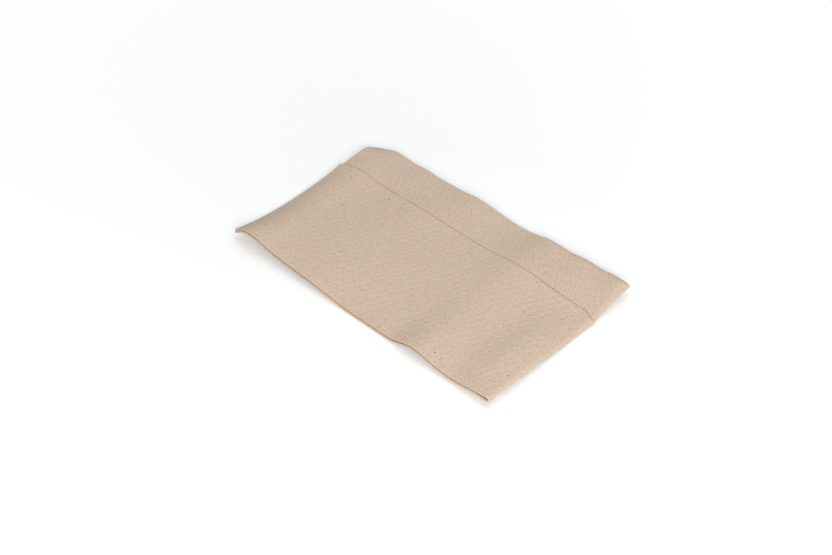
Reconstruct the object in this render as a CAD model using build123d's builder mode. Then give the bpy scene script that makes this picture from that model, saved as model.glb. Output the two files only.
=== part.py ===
from build123d import *
from math import radians, tan
import os

# A dispenser napkin: one sheet of one-ply kraft tissue, folded twice and lying as it
# rests. The first fold runs lengthwise, off the middle of the sheet, and lays a flap
# over a wider panel. The second fold runs across and doubles that strip with the flap
# outside, so four plies lie over each other: flap, panel, panel, flap.
# Millimetres, +Z up. The long fold is at -Y, the cross fold at +X, the open ends at -X,
# the free long edges at +Y, and the origin is under the middle of the folded sheet.

# Folded size. Opened out, the sheet is about 343 by 178.
folded_length = 171.45   # open ends to the outside of the cross fold
panel_width = 101.6      # long fold to the back edge
flap_width = 76.2        # long fold to the free edge of the flap

# Paper and the air that its folds hold
paper = 0.25             # one ply, with the height of its crepe
ply_gap = 0.3            # between flap and panel, and so inside the long fold
half_gap = 0.9           # between the two halves, and so inside the cross fold

# How far each face of the paper lies from the surface midway between the halves
panel_inner = half_gap / 2
panel_outer = panel_inner + paper
flap_inner = panel_outer + ply_gap
flap_outer = flap_inner + paper

# The long fold is a half-round bead, carried on the line midway between flap and panel
bead_inner = ply_gap / 2
bead_outer = bead_inner + paper
bead_line = panel_outer + bead_inner
bead_sides = 8           # creped paper breaks into flats as it is creased

# Stations across the sheet, where its waves are set
front_y = bead_outer - panel_width / 2
flap_y = flap_width - panel_width / 2
middle_y = (front_y + flap_y) / 2
back_y = panel_width / 2

# The waves: heights over the surface it rests on, at nine stations from the open ends
# to the cross fold. The sheet arches up behind the open ends, lies flat under its
# middle, ripples and rises to the cross fold. The back corner at the open ends droops.
wave_height = 7.5
rest_press = 0.05        # the crepe is pressed in by this where the napkin rests
station_shares = [0, 0.07, 0.175, 0.325, 0.46, 0.63, 0.715, 0.84, 1]
front_shares = [0.41, 1, 0.56, 0.36, 0, 0, 0.62, 0.14, 0.55]
middle_shares = [0.01, 0.5, 0.4, 0.29, 0, 0, 0.35, 0.14, 0.01]
flap_shares = [0.24, 0.52, 0.32, 0.28, 0.25, 0.24, 0.45, 0.28, 0.09]
back_shares = [0.01, 0.47, 0.37, 0.32, 0.49, 0.18, 0.57, 0.58, 0.4]
rows = [
    (front_y, front_shares),
    (middle_y, middle_shares),
    (flap_y, flap_shares),
    (back_y, back_shares),
]
bend_share = 0.42        # of the shorter run beside a bend, taken up by its arc

open_end_x = -folded_length / 2
cross_fold_x = folded_length / 2 - flap_outer


def wave_points(height_shares):
    # the line midway between the halves at one row, as (x, z)
    run = cross_fold_x - open_end_x
    lowest = flap_outer - rest_press
    return [
        (open_end_x + station * run, lowest + height * wave_height)
        for station, height in zip(station_shares, height_shares)
    ]


def bend_radii(points):
    # each bend is as wide as the runs beside it allow, so that the wave stays soft
    corners = [Vector(point) for point in points]
    radii = []
    for before, corner, after in zip(corners, corners[1:], corners[2:]):
        arriving, leaving = corner - before, after - corner
        half_turn = radians(arriving.get_angle(leaving)) / 2
        tangent = bend_share * min(arriving.length, leaving.length)
        radii.append(tangent / tan(half_turn))
    return radii


def hairpin_section(y, height_shares, inner, outer):
    # one ply cut across at y: over the top, round the cross fold and back below
    points = wave_points(height_shares)
    radii = bend_radii(points)
    with BuildSketch(Plane.XZ.offset(-y)) as section:
        for distance, mode in ((outer, Mode.ADD), (inner, Mode.SUBTRACT)):
            with BuildLine():
                middle = FilletPolyline(*points, radius=radii, mode=Mode.PRIVATE)
                add(middle.offset_2d(distance, kind=Kind.ARC, side=Side.BOTH))
            make_face(mode=mode)
        with Locations(points[0]):    # the ends are cut off square and stay open
            Rectangle(2 * outer, 4 * outer, align=(Align.MAX, Align.CENTER), mode=Mode.SUBTRACT)
    return section.sketch


# The panel: both its halves and their cross fold, from the long fold to the back edge
with BuildPart() as panel:
    loft([hairpin_section(y, shares, panel_inner, panel_outer) for y, shares in rows], ruled=True)

# The flap lies outside the panel and stops short of the back edge
with BuildPart() as flap:
    loft([hairpin_section(y, shares, flap_inner, flap_outer) for y, shares in rows[:-1]], ruled=True)

# The long fold: a half-round bead that follows the front row and turns the cross fold
front_points = wave_points(front_shares)
with BuildPart() as long_fold:
    with BuildLine(Plane.XZ.offset(-front_y)):
        front_middle = FilletPolyline(*front_points, radius=bend_radii(front_points), mode=Mode.PRIVATE)
    bead_path = front_middle.offset_2d(bead_line, kind=Kind.ARC, side=Side.BOTH)
    with BuildSketch(Plane(origin=bead_path @ 0, x_dir=(0, -1, 0), z_dir=bead_path % 0)):
        for apothem, mode in ((bead_outer, Mode.ADD), (bead_inner, Mode.SUBTRACT)):
            RegularPolygon(apothem, bead_sides, major_radius=False, rotation=180 / bead_sides, mode=mode)
        Rectangle(bead_outer, 2 * bead_outer, align=(Align.MAX, Align.CENTER), mode=Mode.SUBTRACT)
    sweep(path=bead_path)
    with Locations((open_end_x, front_y, front_points[0][1])):
        Box(
            2 * flap_outer, 4 * bead_outer, 4 * flap_outer,
            align=(Align.MAX, Align.CENTER, Align.CENTER), mode=Mode.SUBTRACT,
        )

# One sheet: the bead joins the flap to the panel all the way round. Where the lower flap
# lies on a surface, its weight has pressed a flat into the crepe.
with BuildPart() as napkin:
    add(long_fold.part)
    add(panel.part)
    add(flap.part)
    split(bisect_by=Plane.XY, keep=Keep.TOP)

os.makedirs("parts", exist_ok=True)
napkin.part.label = "napkin"
export_step(napkin.part, "parts/napkin.step")

size = napkin.part.bounding_box().size
print("napkin", round(size.X, 2), round(size.Y, 2), round(size.Z, 2), "mm,",
      len(napkin.part.solids()), "solid,", round(napkin.part.volume), "cubic mm")
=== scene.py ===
import math
import bpy
import numpy as np
from mathutils import Matrix, Vector


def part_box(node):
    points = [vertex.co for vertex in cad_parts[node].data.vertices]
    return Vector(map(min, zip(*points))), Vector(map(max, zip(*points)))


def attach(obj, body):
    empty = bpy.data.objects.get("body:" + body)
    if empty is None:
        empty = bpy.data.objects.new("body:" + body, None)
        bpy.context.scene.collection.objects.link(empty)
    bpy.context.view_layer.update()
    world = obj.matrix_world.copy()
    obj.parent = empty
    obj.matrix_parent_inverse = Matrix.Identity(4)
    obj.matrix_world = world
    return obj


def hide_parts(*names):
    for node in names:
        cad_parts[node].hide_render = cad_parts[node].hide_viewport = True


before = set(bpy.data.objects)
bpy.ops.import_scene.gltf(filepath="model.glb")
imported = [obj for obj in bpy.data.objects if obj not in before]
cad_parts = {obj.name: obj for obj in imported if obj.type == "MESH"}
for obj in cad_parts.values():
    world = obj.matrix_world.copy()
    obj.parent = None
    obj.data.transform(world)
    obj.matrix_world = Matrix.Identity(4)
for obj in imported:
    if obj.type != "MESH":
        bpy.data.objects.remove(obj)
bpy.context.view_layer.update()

# Lengths here are in millimetres, and each mesh is brought to metres as it is made.
# x runs from the open ends to the cross fold, y from the long fold to the free edges.
mm = 0.001
low, high = (np.array(corner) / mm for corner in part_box("napkin"))
openEnd, crossFold = low[0], high[0]
longFold, backEdge = low[1], high[1]
print("frame loaded, folded napkin", np.round(high - low, 1), "mm")

napkin = {
    "flatWidth": 177.8,          # the sheet as it was cut
    "flatLength": 342.9,
    "paper": 0.22,
    "flapShare": 0.75,           # of the panel's width that the flap covers
    "plyGap": 0.14,              # the air between flap and panel varies by this
    "plyGapMean": 1.3,           # about a mean of this many times as much
    "flapRise": 0.22,            # the flap's free edge stands off more, and varies by this
    "flapRiseMean": 0.9,         # about a mean of this many times as much,
    "flapRiseEnd": 0.25,         # with this many times more at the open ends
    "flapCurl": 0.07,            # the cut edge itself is turned down by this
    "flapReach": 0.45,           # the flap's end reaches this far past the panel's
    "flapBow": 2.4,              # and its edge bows to the front there,
    "foldBow": 2.0,              # and again where it comes to the cross fold
    "beadUpper": 0.34,           # radius of the long fold, to the middle of the paper,
    "beadLower": 0.48,           # pressed in the upper half and loose in the lower
    "foldSpring": 5.0,           # the plies settle on each other this far from the long fold
    "foldInset": 1.6,            # the cross fold turns round a line this far inside it
    "halfGapFront": 0.42,        # air between the halves: along the long fold,
    "halfGapMiddle": 0.7,        # across the middle,
    "halfGapBack": 0.08,         # at the free back edges,
    "halfGapEnd": 0.6,           # the share of it that is left at the open ends,
    "halfGapVaries": 0.25,       # the share by which it varies,
    "halfGapFold": 0.6,          # what the cross fold adds to it,
    "halfGapCorner": 0.5,        # and what it adds more at the back
    "noseFront": 1.2,            # the cross fold's nose is drawn out by this at the front
    "noseBack": 2.8,             # and by this at the back,
    "noseDroop": 1.4,            # where its corner hangs by this much
    "lowerEnd": 0.5,             # the lower half reaches out more: at the open ends,
    "lowerFront": 0.25,          # along the long fold,
    "lowerBack": 0.35,           # at the back,
    "lowerCorner": 0.6,          # and more of that at the cross fold
    "upperBack": 0.9,            # the upper half draws back there
    "edgeWander": 0.22,          # how far a free edge strays from straight
    "wanderApart": (300, 500),   # the lower half and the flap take their ripples this far on
    "columns": 142,              # of the grid, over each half
    "foldColumns": 18,           # round the cross fold
    "panelRows": 80,
    "beadRows": 11,
    "flapRows": 60,
    "seamRows": 8,               # closer rows within 1 mm of where the flap's edge lies
    "cutEnd": 0.1,               # a close row this far inside each cut edge keeps it crisp:
    "cutBack": 0.35,             # at the open ends, at the back,
    "cutFlap": 0.3,              # and at the flap's free edge
    "meanLevel": 5.95,           # of the top face, over the surface it lies on
    # heights of the top face over its mean level, at stations along six rows
    "stations": [-85.7, -79, -73, -62, -45, -25, -12, 2, 16, 25, 35, 48, 60, 74, 85.7],
    "rowPlaces": [-50.8, -32, -12, 25.4, 38, 50.8],
    "rows": [
        [0.2, 3.7, 4.5, 2.4, 0.4, -0.9, -2.4, -2.9, -2.7, -2.1, 0.9, -0.4, -1.8, -0.4, 0.9],
        [-2.3, 0.8, 2.2, 1.5, 0.5, -0.2, -1.2, -1.9, -1.9, -1.4, 0.2, -0.4, -1.0, 0.8, 0.0],
        [-3.0, -0.3, 1.0, 0.7, 0.2, -0.3, -0.8, -1.3, -1.4, -1.0, -0.1, -0.4, -0.8, 0.6, -1.1],
        [-0.1, 1.2, 1.5, 0.2, -0.5, -0.1, -0.5, -0.9, -0.7, 0.0, 1.3, 0.7, -0.4, -1.4, -1.8],
        [1.4, 1.3, 1.2, 0.2, -0.3, -0.1, 0.3, -0.6, -1.0, -0.4, 1.2, 0.9, 0.7, 0.3, 0.4],
        [0.4, 0.8, 0.9, 0.3, 0.0, 0.0, 1.1, -0.3, -1.3, -0.6, 1.3, 1.1, 1.8, 1.5, 2.7],
    ],
    "crinkle": 0.07,             # height of the small ripples over the waves
    "stripDrop": 0.5,            # the strip beside the flap has one ply less on top
    "cornerAlong": 14.5,         # the back corner at the open ends is bent down past a
    "cornerAcross": 8.4,         # line that cuts off this much of each edge
    "cornerDrop": 4.5,
    "cornerRound": 0.07,         # how soft that bend is, as a share of the corner
    "floorRound": 0.25,          # how softly the waves flatten onto the floor
    "endPull": 0.45,             # the drooping open end draws back by this
    "ripples": {
        # seed, shortest wave and longest wave
        "surface": (11, 9, 34),
        "halfGap": (5, 18, 60),
        "plyGap": (7, 10, 40),
        "flapRise": (8, 16, 50),
        "freeEdge": (3, 8, 60),
    },
}
flapEdge = longFold + napkin["flapShare"] * (backEdge - longFold)

# Where along x or y each change begins, and where it is complete
fades = {
    "gapFront": (longFold + 1, longFold + 14),
    "gapBack": (backEdge - 22, backEdge),
    "gapEnd": (openEnd, openEnd + 30),
    "gapFold": (crossFold - 9, crossFold - 1),
    "corner": (8, backEdge),                 # toward the back corner at the cross fold
    "strip": (flapEdge - 6, flapEdge + 6),
    "spring": (longFold, longFold + napkin["foldSpring"]),
    "flapEnd": (openEnd, openEnd + 14),
    "flapRise": (flapEdge - 7, flapEdge),
    "flapCurl": (flapEdge - napkin["cutFlap"], flapEdge),
    "flapBow": (openEnd - 5, openEnd + 15),
    "foldBow": (crossFold - 4.4, crossFold - 1),
    "flapOut": (longFold + 8, flapEdge),     # the flap's own shifts grow towards its edge
    "nose": (crossFold - 32, crossFold - 3),
    "droop": (backEdge - 14, backEdge),
    "endShift": (openEnd, openEnd + 26),
    "pullAlong": (openEnd, openEnd + 12),
    "pullFront": (longFold, -38),
    "pullBack": (16, 26),
    "lowerEnd": (0, 25),
    "lowerFront": (longFold, longFold + 20),
    "lowerBack": (-20, backEdge),
    "backShift": (22, 50),
    "cornerShift": (62, 82),
    "panelWander": (backEdge - 14, backEdge),
    "flapWander": (flapEdge - 14, flapEdge),
    # where the painted shade between plies ends: at the open ends, about 1 mm past the flap's free
    # edge as its painted shadow line, and near the back edge
    "shadeAtEnd": (openEnd, openEnd + 6),
    "shadeByFlap": (flapEdge + 0.1, flapEdge + 1.1),
    "shadeAtBack": (backEdge - 5, backEdge - 2.5),
}


def splineWeights(points, knots):
    # Natural cubic spline as a matrix: row i holds what each knot's height counts for at
    # point i. The second derivatives m follow from h0 m0 + 2 (h0 + h1) m1 + h1 m2 =
    # 6 (slope1 - slope0), zero at both ends. Within a span h, with shares a and b of its
    # ends, the height is a y0 + b y1 + ((a^3 - a) m0 + (b^3 - b) m1) h^2 / 6.
    points, knots = np.asarray(points, float), np.asarray(knots, float)
    count = len(knots)
    h = np.diff(knots)
    inner = np.arange(1, count - 1)
    left, right = np.eye(count), np.zeros((count, count))
    left[inner, inner - 1] = h[:-1]
    left[inner, inner] = 2 * (h[:-1] + h[1:])
    left[inner, inner + 1] = h[1:]
    right[inner, inner - 1] = 6 / h[:-1]
    right[inner, inner] = -6 / h[:-1] - 6 / h[1:]
    right[inner, inner + 1] = 6 / h[1:]
    second = np.linalg.solve(left, right)
    span = np.clip(np.searchsorted(knots, points) - 1, 0, count - 2)
    a = ((knots[span + 1] - points) / h[span])[:, None]
    b = 1 - a
    unit = np.eye(count)
    bent = (a**3 - a) * second[span] + (b**3 - b) * second[span + 1]
    return a * unit[span] + b * unit[span + 1] + bent * (h[span] ** 2 / 6)[:, None]


def fade(values, name):
    # 0 before the fade of that name, 1 after it, and 3 t^2 - 2 t^3 within it, where t is
    # the share of it that is passed
    start, end = fades[name]
    t = np.clip((values - start) / (end - start), 0, 1)
    return t * t * (3 - 2 * t)


def blend(start, end, share):
    # start where the share is 0, end where it is 1, and in proportion between
    return start + (end - start) * share


def aboveZero(values, width):
    # 0 below zero and the value above it, rounded over about the width:
    # width log(1 + exp(value / width)), held to where exp doesn't overflow
    return width * np.log1p(np.exp(np.clip(values / width, -50, 50)))


def ripples(x, y, kind, count=24):
    # Sum of cosines of 2 pi (x cos(turn) + y sin(turn)) / wave + phase, with each of these
    # drawn from the seed, over 1.5 sqrt(2 count), so that it is about 1 high at most
    seed, shortest, longest = napkin["ripples"][kind]
    rng = np.random.default_rng(seed)
    turn, phase = rng.uniform(0, 2 * np.pi, (2, count))
    wave = np.exp(rng.uniform(np.log(shortest), np.log(longest), count))
    total = 0
    for k in range(count):
        along = x * np.cos(turn[k]) + y * np.sin(turn[k])
        total = total + np.cos(2 * np.pi * along / wave[k] + phase[k])
    return total / math.sqrt(2 * count) / 1.5


def restingHeight(x, y):
    # Height of the surface midway between the halves: the top face's splined waves, less
    # the plies above it, less the droop of the corner: the drop times t, the share of the
    # way from the line across it to its tip. Where that is less than the thickness of the
    # lower half, the floor holds it up at that. Both bends are rounded.
    alongRows = splineWeights(x, napkin["stations"]) @ np.array(napkin["rows"]).T
    heights = alongRows @ splineWeights(y, napkin["rowPlaces"]).T
    x, y = x[:, None], y[None, :]
    covered = halfThickness(x, y, napkin["beadUpper"]) - napkin["stripDrop"] * fade(y, "strip")
    t = 1 - (x - openEnd) / napkin["cornerAlong"] - (backEdge - y) / napkin["cornerAcross"]
    corner = napkin["cornerDrop"] * aboveZero(t, napkin["cornerRound"])
    height = napkin["meanLevel"] + heights - covered - corner
    height = height + napkin["crinkle"] * ripples(x, y, "surface")
    lowest = halfThickness(x, y, napkin["beadLower"])
    return lowest + aboveZero(height - lowest, napkin["floorRound"])


def panelOffset(x, y):
    # From the surface midway between the halves to the middle of the panel's paper: half
    # the paper and half the air, which goes from the front's to the middle's to the
    # back's, is less at the open ends, varies, and is more at the cross fold
    gap = blend(napkin["halfGapFront"], napkin["halfGapMiddle"], fade(y, "gapFront"))
    gap = blend(gap, napkin["halfGapBack"], fade(y, "gapBack"))
    gap = gap * blend(napkin["halfGapEnd"], 1, fade(x, "gapEnd"))
    gap = gap * (1 + napkin["halfGapVaries"] * ripples(x, y, "halfGap"))
    atFold = napkin["halfGapFold"] + napkin["halfGapCorner"] * fade(y, "corner")
    return (gap + atFold * fade(x, "gapFold")) / 2 + napkin["paper"] / 2


def flapLift(x, y, beadRadius):
    # From the middle of the panel's paper to the middle of the flap's: the bead's height
    # at the long fold, eased down to the paper and its air gap away from it, and more
    # again near the flap's free edge
    gap = napkin["plyGap"] * (napkin["plyGapMean"] + ripples(x, y, "plyGap"))
    atEnd = napkin["flapRiseEnd"] * (1 - fade(x, "flapEnd"))
    rise = napkin["flapRise"] * (napkin["flapRiseMean"] + ripples(x, y, "flapRise") + atEnd)
    lift = blend(2 * beadRadius, napkin["paper"] + gap, fade(y, "spring"))
    return lift + rise * fade(y, "flapRise")


def halfThickness(x, y, beadRadius):
    # From the surface midway between the halves to the outside of the flap
    return panelOffset(x, y) + flapLift(x, y, beadRadius) + napkin["paper"] / 2


def gridLines():
    # Columns go over the top, round the cross fold and back beneath; rows go from the
    # panel's free edge to the long fold, round it, and out to the flap's free edge. turn
    # and bead are the angles, 0 to pi, that each has gone round the one and the other.
    foldCentre = crossFold - napkin["foldInset"]
    over = np.linspace(openEnd, foldCentre, napkin["columns"], endpoint=False)
    over = np.insert(over, 1, openEnd + napkin["cutEnd"])
    turnRound = np.linspace(0, np.pi, napkin["foldColumns"])
    x = np.concatenate([over, turnRound * 0 + foldCentre, over[::-1]])
    turn = np.concatenate([over * 0, turnRound, over * 0 + np.pi])
    beadLine = longFold + napkin["beadUpper"] + napkin["paper"] / 2
    panelRows = np.linspace(backEdge, beadLine, napkin["panelRows"], endpoint=False)
    seam = flapEdge + np.linspace(-1, 1, napkin["seamRows"])
    panelRows = np.concatenate([panelRows, seam, [backEdge - napkin["cutBack"]]])
    panelRows = np.sort(panelRows)[::-1]
    flapRows = np.linspace(flapEdge, beadLine, napkin["flapRows"], endpoint=False)[::-1]
    flapRows = np.insert(flapRows, -1, flapEdge - napkin["cutFlap"])
    turnBead = np.linspace(0, np.pi, napkin["beadRows"])
    y = np.concatenate([panelRows, turnBead * 0 + beadLine, flapRows])
    bead = np.concatenate([panelRows * 0, turnBead, flapRows * 0 + np.pi])
    return x, turn, y, bead


def bowOfFlap(x):
    # How far the flap's free edge bows to the front: most at the open end, none along the
    # middle, and a little again just before the cross fold turns
    return napkin["flapBow"] * (1 - fade(x, "flapBow")) + napkin["foldBow"] * fade(x, "foldBow")


def paperMiddle():
    # The middle of the paper: place (x, y, height), plus the ply's offset along a normal
    # that the cross fold turns from up, over +x, to down. Toward +x the nose is added to
    # the offset, and its corner hangs by the droop. From panel to flap the offset grows by
    # the lift less the edge's curl, times (1 - cos(bead)) / 2, and y goes back by half the
    # lift times sin(bead).
    x, turn, y, bead = gridLines()
    step = 0.25                              # for the slopes
    height = restingHeight(x, y)
    slopeX = (restingHeight(x + step, y) - restingHeight(x - step, y)) / (2 * step)
    slopeY = (restingHeight(x, y + step) - restingHeight(x, y - step)) / (2 * step)
    up = np.stack([-slopeX, -slopeY, np.ones_like(height)], -1)
    up /= np.linalg.norm(up, axis=-1, keepdims=True)
    along = np.stack([np.ones_like(height), 0 * height, slopeX], -1)
    along /= np.linalg.norm(along, axis=-1, keepdims=True)
    gridX, gridY = x[:, None], y[None, :]
    lower = (1 - np.cos(turn))[:, None] / 2  # 0 on the upper half, 1 on the lower
    onFlap = (1 - np.cos(bead))[None, :] / 2
    lift = flapLift(gridX, gridY, blend(napkin["beadUpper"], napkin["beadLower"], lower))
    curl = napkin["flapCurl"] * fade(gridY, "flapCurl")
    offset = panelOffset(gridX, gridY) + onFlap * (lift - curl)
    bulge = lift / 2 * np.sin(bead)[None, :]
    nose = blend(napkin["noseFront"], napkin["noseBack"], fade(gridY, "corner"))
    droop = napkin["noseDroop"] * fade(gridY, "droop") + 0 * offset
    cos, sin = np.cos(turn)[:, None, None], np.sin(turn)[:, None, None]
    place = np.stack([gridX - nose * fade(gridX, "nose"), gridY - bulge, height], -1)
    place = place + (offset[..., None] * cos - droop[..., None] * sin) * up
    place = place + (offset + nose)[..., None] * sin * along
    place += foldingErrors(gridX, gridY, lower, onFlap)
    place[..., 2] -= place[..., 2].min() - napkin["paper"] / 2
    return place, x, turn, y, bead


def foldingErrors(x, y, lower, onFlap):
    # How far the lower half, the free edges and the flap's end are out of line, as a
    # machine folds them: each amount times the fades of where it acts
    atEnd, outward = 1 - fade(x, "endShift"), onFlap * fade(y, "flapOut")
    pull = napkin["endPull"] * fade(y, "pullFront") * (1 - fade(y, "pullBack"))
    alongX = pull * (1 - fade(x, "pullAlong"))
    alongX = alongX - napkin["lowerEnd"] * lower * atEnd * (1 - fade(y, "lowerEnd"))
    alongX = alongX - napkin["flapReach"] * atEnd * outward
    back = napkin["lowerBack"] * fade(x, "backShift") + napkin["lowerCorner"] * fade(x, "cornerShift")
    front = napkin["lowerFront"] * (1 - fade(y, "lowerFront"))
    alongY = lower * (back * fade(y, "lowerBack") - front) - bowOfFlap(x) * outward
    alongY = alongY - (1 - lower) * napkin["upperBack"] * fade(y, "corner") * fade(x, "backShift")
    free = blend(fade(y, "panelWander"), fade(y, "flapWander"), onFlap)
    lowerOn, flapOn = napkin["wanderApart"]
    wander = ripples(x + lowerOn * lower + flapOn * onFlap, 0, "freeEdge")
    alongY = alongY + napkin["edgeWander"] * free * wander
    return np.stack([alongX, alongY, 0 * alongY], -1)


def unitTangents(grid, axis):
    # At each point the mean of the directions of the two steps beside it
    steps = np.diff(grid, axis=axis)
    steps /= np.linalg.norm(steps, axis=-1, keepdims=True)
    first = np.take(steps, [0], axis)
    last = np.take(steps, [-1], axis)
    mean = np.concatenate([first, steps], axis) + np.concatenate([steps, last], axis)
    return mean / np.linalg.norm(mean, axis=-1, keepdims=True)


def makeNapkin():
    # Two faces, half the paper's thickness on either side of its middle along the normal,
    # which is the cross product of the grid's tangents, and a rim of quads between them
    middle, x, turn, y, bead = paperMiddle()
    normal = np.cross(unitTangents(middle, 0), unitTangents(middle, 1))
    normal /= np.linalg.norm(normal, axis=-1, keepdims=True)
    half = napkin["paper"] / 2
    faces = [middle + half * normal, middle - half * normal]
    columns, rows = middle.shape[:2]
    other = columns * rows                   # from a point of one face to that of the other
    index = np.arange(other).reshape(columns, rows)
    quads = np.stack([index[:-1, :-1], index[1:, :-1], index[1:, 1:], index[:-1, 1:]], -1)
    quads = quads.reshape(-1, 4)
    rim = np.concatenate([index[:, 0], index[-1, 1:], index[-2::-1, -1], index[0, -2:0:-1]])
    rimNext = np.roll(rim, -1)
    edge = np.stack([rimNext, rim, rim + other, rimNext + other], -1)
    quads = np.concatenate([quads, quads[:, ::-1] + other, edge])
    points = np.concatenate([face.reshape(-1, 3) for face in faces]) * mm
    mesh = bpy.data.meshes.new("napkin_sheet")
    mesh.from_pydata(points.tolist(), [], quads.tolist())
    mesh.update()
    # the UV map is the flat sheet, both faces alike, with the mean lengths of the grid's steps
    across = np.linalg.norm(np.diff(middle, axis=1), axis=-1).mean(0)
    along = np.linalg.norm(np.diff(middle, axis=0), axis=-1).mean(1)
    across, along = (np.concatenate([[0], np.cumsum(steps)]) for steps in (across, along))
    u = np.repeat(along[:, None] / along[-1], rows, 1)
    v = np.repeat(across[None, :] / across[-1], columns, 0)
    flat = np.stack([u, v], -1).reshape(-1, 2)
    flat = np.concatenate([flat, flat])
    corners = np.empty(len(mesh.loops), np.int32)
    mesh.loops.foreach_get("vertex_index", corners)
    mesh.uv_layers.new(name="sheet").data.foreach_set("uv", flat[corners].ravel())
    # painted highlight: this attribute is 1 on the two folds and fades beside them, and there the
    # folds are painted paler and warmer for the light they catch
    onFold = np.maximum(np.sin(turn)[:, None], np.sin(bead)[None, :])
    foldHighlight = mesh.attributes.new("foldHighlight", "FLOAT", "POINT")
    foldHighlight.data.foreach_set("value", np.concatenate([onFold.ravel()] * 2))
    # painted shade: inside is 1 where another ply lies over that face of the paper: on the one face
    #     # between the halves, on the other under the flap and in the bead, and on the panel for
    #     about
    #     # 1 mm past the flap's free edge, where it paints the shadow line that the flap casts
    within = fade(x, "shadeAtEnd")[:, None]
    covered = 1 - fade(y[None, :] + bowOfFlap(x)[:, None], "shadeByFlap")
    covered = within * np.where(bead[None, :] > 0, 1, covered)
    between = within * np.where(bead > 0, 0, 1 - fade(y, "shadeAtBack"))
    inside = mesh.attributes.new("inside", "FLOAT", "POINT")
    inside.data.foreach_set("value", np.concatenate([between.ravel(), covered.ravel()]))
    # the rim stays flat, so that the cut edges don't look rolled
    smooth = np.ones(len(mesh.polygons), bool)
    smooth[-len(edge):] = False
    mesh.polygons.foreach_set("use_smooth", smooth)
    piece = bpy.data.objects.new("napkin_sheet", mesh)
    bpy.context.collection.objects.link(piece)
    print("napkin sheet:", len(quads) * 2, "triangles")
    return piece


tissue = {
    "roughness": 0.92,
    "specular": 0.15,
    # colours as they look on screen, 0 to 255
    "baseColour": (207, 187, 168),
    # painted highlight on the folds: paler and warmer for the light they catch, and how much of it
    "foldHighlightColour": (216, 193, 169),
    "foldHighlightAmount": 0.6,
    # painted shade between plies and beside the flap's free edge: a darker warm brown for the shade
    # and warm bounced light there, and how much of it
    "pliesShadeColour": (184, 138, 102),
    "pliesShadeAmount": 0.8,
    # clouds of fibre, cool and warm, then streaks, then the grain of single fibres: colour,
    # amount, the noise values where it begins and is full, and the noise, scaled per mm
    "layers": [
        ((202, 185, 170), 0.6, (0.35, 0.65), dict(scale=0.1, detail=3)),
        ((216, 188, 162), 0.4, (0.48, 0.68), dict(scale=0.33, detail=3)),
        ((182, 157, 136), 0.45, (0.5, 0.66), dict(detail=1, stretch=(0.35, 1.2, 1), turned=-45)),
        ((220, 180, 142), 0.6, (0.5, 0.64), dict(detail=3, roughness=0.75)),
        ((230, 215, 202), 0.7, (0.5, 0.64), dict(scale=1.3, detail=3, roughness=0.75)),
        ((182, 157, 136), 0.7, (0.52, 0.66), dict(scale=1.6, roughness=0.7)),
    ],
    # flecks of bark, at most one in each cell
    "fleckColour": (144, 100, 72),
    "fleckAmount": 1.6,
    "fleckSpacing": 12.0,        # of the cells
    "fleckRadius": 0.36,
    "fleckStray": 2.2,           # how far noise of this grain draws them out of round
    "fleckGrain": 0.9,
    "fleckChance": (0.6, 0.3),   # a cell's random value where its fleck begins and is full
    # the emboss is a lattice of cosine ridges: direction in degrees, pitch and height
    "emboss": [(90, 3.3, 0.0035), (-27, 3.6, 0.03), (36.8, 3.32, 0.008)],
    # crepe, straight and slanting, and fibres: height and noise
    "relief": [
        (0.13, dict(stretch=(1.5, 0.22, 1))),
        (0.065, dict(detail=1, stretch=(0.35, 1.2, 1), turned=-45)),
        (0.1, dict(scale=1.7)),
    ],
}


def srgb(red, green, blue):
    # screen values from 0 to 255 as linear colour: ((v + 0.055) / 1.055)^2.4, and v / 12.92
    # where they are darkest
    values = np.array([red, green, blue]) / 255
    linear = np.where(values > 0.04045, ((values + 0.055) / 1.055) ** 2.4, values / 12.92)
    return (*[float(value) for value in linear], 1)


def addNode(tree, kind, inputs=None, **settings):
    # a node with these settings, and fixed values on the inputs named
    node = tree.nodes.new(kind)
    for name, value in settings.items():
        setattr(node, name, value)
    for name, value in (inputs or {}).items():
        node.inputs[name].default_value = value
    return node


def addMath(tree, operation, first, second=None):
    # one Math node on a socket and, where it takes two, another socket or a number
    node = addNode(tree, "ShaderNodeMath", operation=operation)
    tree.links.new(first, node.inputs[0])
    if isinstance(second, float):
        node.inputs[1].default_value = second
    elif second:
        tree.links.new(second, node.inputs[1])
    return node.outputs[0]


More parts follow.
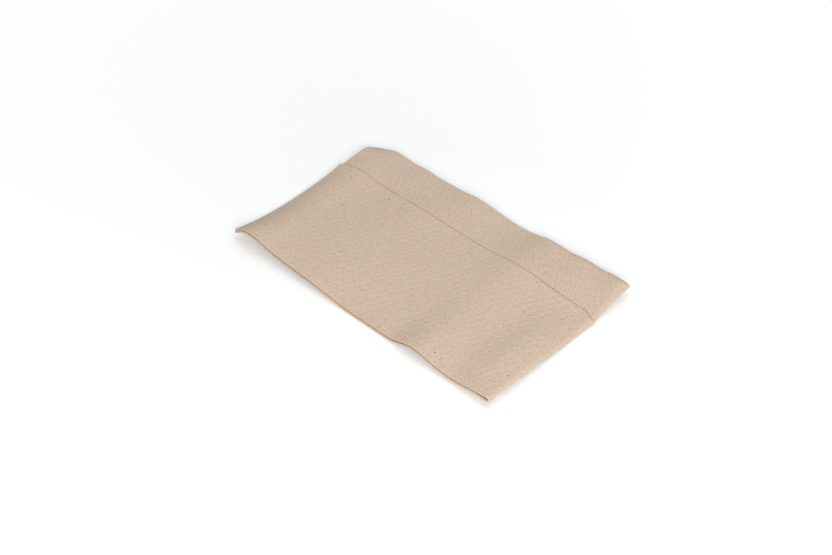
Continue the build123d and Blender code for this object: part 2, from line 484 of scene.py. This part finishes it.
def makeTissue():
    # Creped, embossed kraft tissue. Its patterns lie on the flat sheet: the UV map in
    # millimetres. Each layer of colour is mixed over the last by a ramp of its noise, and
    # the bump is the sum of the emboss's cosines and the noises of crepe and fibre.
    material = bpy.data.materials.new("tissue")
    material.use_nodes = True
    tree = material.node_tree
    link = tree.links.new
    shader = tree.nodes["Principled BSDF"]
    shader.inputs["Roughness"].default_value = tissue["roughness"]
    shader.inputs["Specular IOR Level"].default_value = tissue["specular"]
    uv = addNode(tree, "ShaderNodeUVMap", uv_map="sheet")
    sheetScale = (napkin["flatLength"], napkin["flatWidth"], 1)
    sheetMap = addNode(tree, "ShaderNodeMapping", {"Scale": sheetScale})
    link(uv.outputs["UV"], sheetMap.inputs["Vector"])
    flat = sheetMap.outputs["Vector"]

    def noise(scale=1, detail=2, roughness=0.5, stretch=None, turned=0):
        # value 0 to 1 of a noise of that scale, on the sheet turned and then stretched
        vector = flat
        if turned:
            rotated = addNode(tree, "ShaderNodeMapping", {"Rotation": (0, 0, math.radians(turned))})
            link(vector, rotated.inputs["Vector"])
            vector = rotated.outputs["Vector"]
        if stretch:
            stretched = addNode(tree, "ShaderNodeMapping", {"Scale": stretch})
            link(vector, stretched.inputs["Vector"])
            vector = stretched.outputs["Vector"]
        values = {"Scale": scale, "Detail": detail, "Roughness": roughness}
        node = addNode(tree, "ShaderNodeTexNoise", values)
        link(vector, node.inputs["Vector"])
        return node.outputs["Fac"]

    def ramp(value, start, end):
        # 0 at start, 1 at end, straight between and level beyond
        node = addNode(tree, "ShaderNodeMapRange", {"From Min": start, "From Max": end})
        link(value, node.inputs["Value"])
        return node.outputs["Result"]

    def mix(mask, under, over, amount):
        # under (1 - f) + over f, where f is mask times amount, 1 at most
        node = addNode(tree, "ShaderNodeMix", {"B": srgb(*over)}, data_type="RGBA")
        link(addMath(tree, "MULTIPLY", mask, amount), node.inputs["Factor"])
        if isinstance(under, tuple):
            node.inputs["A"].default_value = under
        else:
            link(under, node.inputs["A"])
        return node.outputs["Result"]

    def attribute(name):
        # the mesh's own value of that name, at each point
        return addNode(tree, "ShaderNodeAttribute", attribute_name=name).outputs["Fac"]

    colour = srgb(*tissue["baseColour"])
    for over, amount, reach, pattern in tissue["layers"]:
        colour = mix(ramp(noise(**pattern), *reach), colour, over, amount)

    # flecks: a spot about a cell's own point, drawn out of round by noise, in those cells
    # whose random value is low
    stray = addNode(tree, "ShaderNodeTexNoise", {"Scale": tissue["fleckGrain"], "Detail": 1.0})
    link(flat, stray.inputs["Vector"])
    bend = addNode(tree, "ShaderNodeVectorMath", operation="MULTIPLY_ADD")
    bend.inputs[1].default_value = (tissue["fleckStray"],) * 3
    link(stray.outputs["Color"], bend.inputs[0])
    link(flat, bend.inputs[2])
    cells = addNode(tree, "ShaderNodeTexVoronoi", voronoi_dimensions="2D")
    cells.inputs["Scale"].default_value = 1 / tissue["fleckSpacing"]
    link(bend.outputs["Vector"], cells.inputs["Vector"])
    spot = ramp(cells.outputs["Distance"], tissue["fleckRadius"] / tissue["fleckSpacing"], 0.0)
    channels = addNode(tree, "ShaderNodeSeparateColor")
    link(cells.outputs["Color"], channels.inputs["Color"])
    chosen = addMath(tree, "MULTIPLY", spot, ramp(channels.outputs["Red"], *tissue["fleckChance"]))
    colour = mix(chosen, colour, tissue["fleckColour"], tissue["fleckAmount"])

    # painted highlight: the folds are painted paler and warmer, for the light they catch
    colour = mix(attribute("foldHighlight"), colour, tissue["foldHighlightColour"], tissue["foldHighlightAmount"])
    # painted shade: the faces between plies, and a strip of the panel about 1 mm past the flap's free
    # edge, are painted a darker warm brown for the shade and warm bounced light there
    colour = mix(attribute("inside"), colour, tissue["pliesShadeColour"], tissue["pliesShadeAmount"])
    link(colour, shader.inputs["Base Color"])

    heights = []
    for direction, pitch, height in tissue["emboss"]:
        angle, wave = math.radians(direction), 2 * math.pi / pitch
        dot = addNode(tree, "ShaderNodeVectorMath", operation="DOT_PRODUCT")
        dot.inputs[1].default_value = (wave * math.cos(angle), wave * math.sin(angle), 0)
        link(flat, dot.inputs[0])
        heights.append((addMath(tree, "COSINE", dot.outputs["Value"]), height))
    heights += [(noise(**pattern), height) for height, pattern in tissue["relief"]]
    scaled = [addMath(tree, "MULTIPLY", value, height * mm) for value, height in heights]
    total = scaled[0]
    for value in scaled[1:]:
        total = addMath(tree, "ADD", total, value)
    bump = addNode(tree, "ShaderNodeBump", {"Strength": 1.0, "Distance": 1.0})
    link(total, bump.inputs["Height"])
    link(bump.outputs["Normal"], shader.inputs["Normal"])
    print("tissue material:", len(tree.nodes), "nodes")
    return material


piece = makeNapkin()
piece.data.materials.append(makeTissue())
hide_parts("napkin")
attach(piece, "root")


studio = {
    # metres here
    "floorSize": 3.0,
    "floorColour": 0.86,
    "floorGlow": (0.18, 0.75),   # near the napkin and far from it,
    "glowReach": (0.1, 1.2),     # at these distances
    "worldStrength": 0.465,
    "worldTint": (0.945, 0.99, 1.01),
    "lamps": [
        # name, place, size, watts and tint, each turned to the napkin
        ("key", (0.60, -0.53, 0.50), 0.35, 5.0, (1.0, 0.975, 0.935)),
        ("top", (0.1, 0.25, 1.15), 1.2, 4.1, (1.0, 1.0, 1.0)),
    ],
}


def showsBackground(tree):
    # 1 for the rays that the camera, gloss or glass looks along, and 0 for those that
    # light: the greatest of the three
    rays = addNode(tree, "ShaderNodeLightPath")
    shown = rays.outputs["Is Camera Ray"]
    for kind in ("Is Glossy Ray", "Is Transmission Ray"):
        shown = addMath(tree, "MAXIMUM", shown, rays.outputs[kind])
    return shown


def makeFloor():
    # A square about the napkin. Its glow goes straight from the near level to the far one
    # with the distance from the middle, for the rays that show the background alone.
    half = studio["floorSize"] / 2
    corners = [(-half, -half, 0), (half, -half, 0), (half, half, 0), (-half, half, 0)]
    mesh = bpy.data.meshes.new("floor")
    mesh.from_pydata(corners, [], [(0, 1, 2, 3)])
    floor = bpy.data.objects.new("floor", mesh)
    bpy.context.collection.objects.link(floor)
    material = bpy.data.materials.new("floor_pale")
    material.use_nodes = True
    tree = material.node_tree
    shader = tree.nodes["Principled BSDF"]
    shader.inputs["Base Color"].default_value = (studio["floorColour"],) * 3 + (1,)
    shader.inputs["Roughness"].default_value = 1
    shader.inputs["Specular IOR Level"].default_value = 0
    place = addNode(tree, "ShaderNodeTexCoord")
    distance = addNode(tree, "ShaderNodeVectorMath", operation="LENGTH")
    tree.links.new(place.outputs["Object"], distance.inputs[0])
    near, far = studio["glowReach"]
    least, most = studio["floorGlow"]
    values = {"From Min": near, "From Max": far, "To Min": least, "To Max": most}
    level = addNode(tree, "ShaderNodeMapRange", values)
    tree.links.new(distance.outputs["Value"], level.inputs["Value"])
    glow = addMath(tree, "MULTIPLY", level.outputs["Result"], showsBackground(tree))
    shader.inputs["Emission Color"].default_value = (1, 1, 1, 1)
    tree.links.new(glow, shader.inputs["Emission Strength"])
    mesh.materials.append(material)
    return floor


def makeLight():
    # The world lights at its own strength and tint, and shows as plain white; each lamp is
    # a disk that faces the napkin
    world = bpy.data.worlds.new("studio")
    bpy.context.scene.world = world
    world.use_nodes = True
    tree = world.node_tree
    background = tree.nodes["Background"]
    shown = showsBackground(tree)
    levels = {"To Min": studio["worldStrength"], "To Max": 1.0}
    strength = addNode(tree, "ShaderNodeMapRange", levels)
    tree.links.new(shown, strength.inputs["Value"])
    tints = {"A": (*studio["worldTint"], 1), "B": (1, 1, 1, 1)}
    tint = addNode(tree, "ShaderNodeMix", tints, data_type="RGBA")
    tree.links.new(shown, tint.inputs["Factor"])
    tree.links.new(tint.outputs["Result"], background.inputs["Color"])
    tree.links.new(strength.outputs["Result"], background.inputs["Strength"])
    for name, place, size, watts, colour in studio["lamps"]:
        data = bpy.data.lights.new(name, "AREA")
        data.shape = "DISK"
        data.size = size
        data.energy = watts
        data.color = colour
        lamp = bpy.data.objects.new(name, data)
        lamp.location = place
        lamp.rotation_euler = (-Vector(place)).to_track_quat("-Z", "Y").to_euler()
        bpy.context.collection.objects.link(lamp)
    print("studio lit by the world and", len(studio["lamps"]), "lamps")


view = {
    "azimuth": 44.29,            # degrees, as are the next two
    "elevation": 41.97,
    "roll": -0.66,
    "focalPixels": 1460,         # focal length, in pixels of a frame this wide
    "frameWidth": 832,
    "sensorWidth": 36,           # mm
    "distance": 0.707,           # metres from the target
    "target": (0.00558, -0.01456, 0.0056),
}


def makeCamera():
    # The camera stands at the target plus the distance times back, the unit vector
    # (sin a cos e, -cos a cos e, sin e) of azimuth a and elevation e. Its right and up are
    # the level vector (cos a, sin a, 0) and back x level, turned by the roll.
    a, e, r = (math.radians(view[name]) for name in ("azimuth", "elevation", "roll"))
    back = Vector((math.sin(a) * math.cos(e), -math.cos(a) * math.cos(e), math.sin(e)))
    level = Vector((math.cos(a), math.sin(a), 0))
    upright = back.cross(level)
    right = level * math.cos(r) + upright * math.sin(r)
    up = upright * math.cos(r) - level * math.sin(r)
    data = bpy.data.cameras.new("camera")
    data.sensor_width = view["sensorWidth"]
    data.lens = view["focalPixels"] / view["frameWidth"] * view["sensorWidth"]
    data.clip_start = 0.01
    camera = bpy.data.objects.new("camera", data)
    turned = Matrix((right, up, back)).transposed().to_4x4()
    place = Vector(view["target"]) + back * view["distance"]
    camera.matrix_world = Matrix.Translation(place) @ turned
    bpy.context.collection.objects.link(camera)
    bpy.context.scene.camera = camera
    print("camera placed,", round(data.lens, 1), "mm lens")


floor = makeFloor()
makeLight()
makeCamera()
bpy.context.scene.view_settings.view_transform = "Standard"
